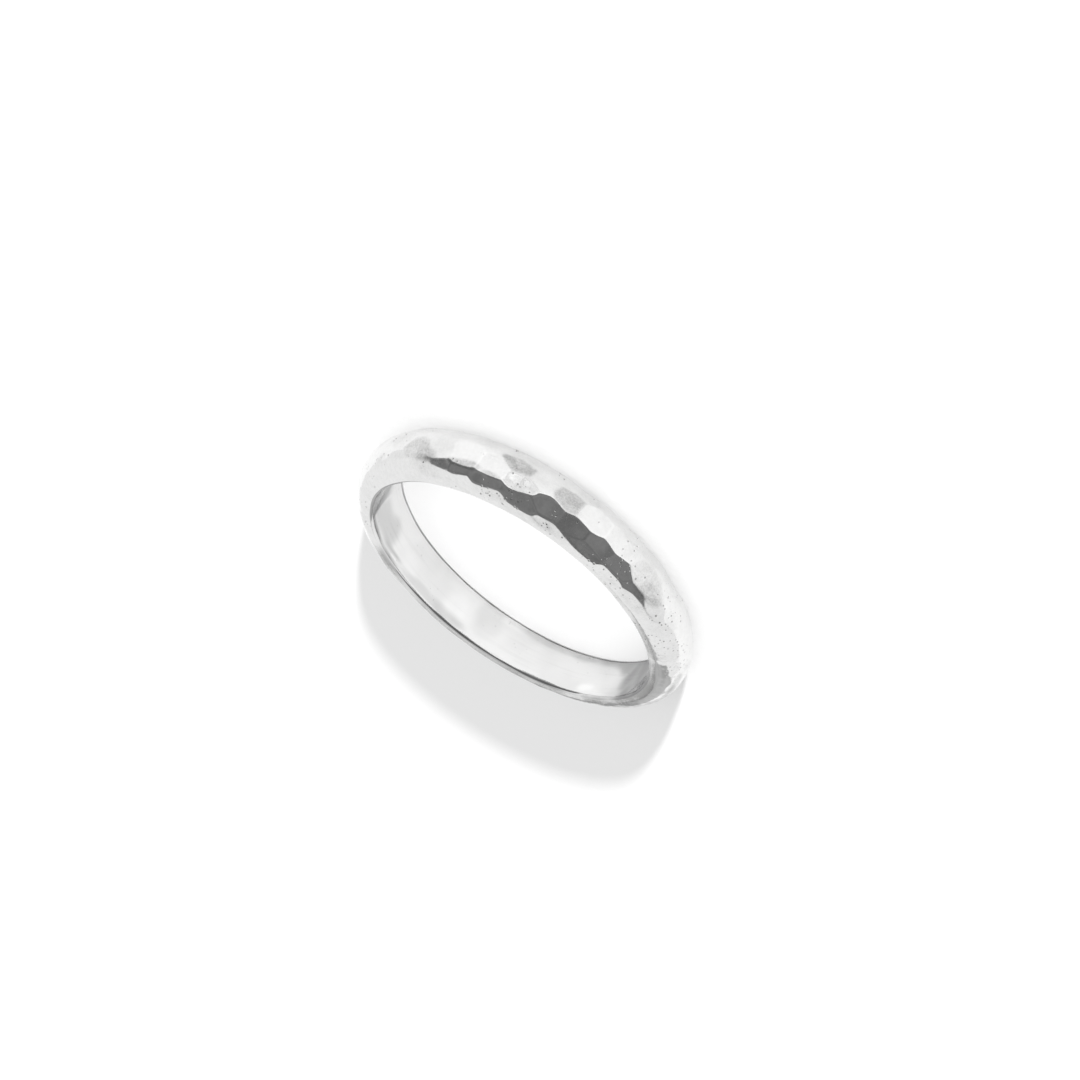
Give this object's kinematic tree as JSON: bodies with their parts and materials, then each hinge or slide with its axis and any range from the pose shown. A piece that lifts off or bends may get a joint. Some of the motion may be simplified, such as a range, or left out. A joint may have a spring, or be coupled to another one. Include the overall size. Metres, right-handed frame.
{
  "type": "stackable ring",
  "caption": "Domed finger band of polished silver with a hammered outside and a smooth bore, worn alone or stacked against another band.",
  "frame": {"origin": "on the axis of the bore, level with the lower side face that the band rests on", "axes": "+Z along the bore, up from the resting side face; -Y towards the widest, thickest side, worn on top of the finger; +X to the right seen from -Y"},
  "size_m": [0.0206, 0.0205, 0.0032],
  "materials": {
    "silver": "bright polished silver, hammered outside with fine pits and scratches, mirror-smooth bore"
  },
  "bodies": {
    "root": {"hammered_band": "silver"}
  },
  "joints": []
}
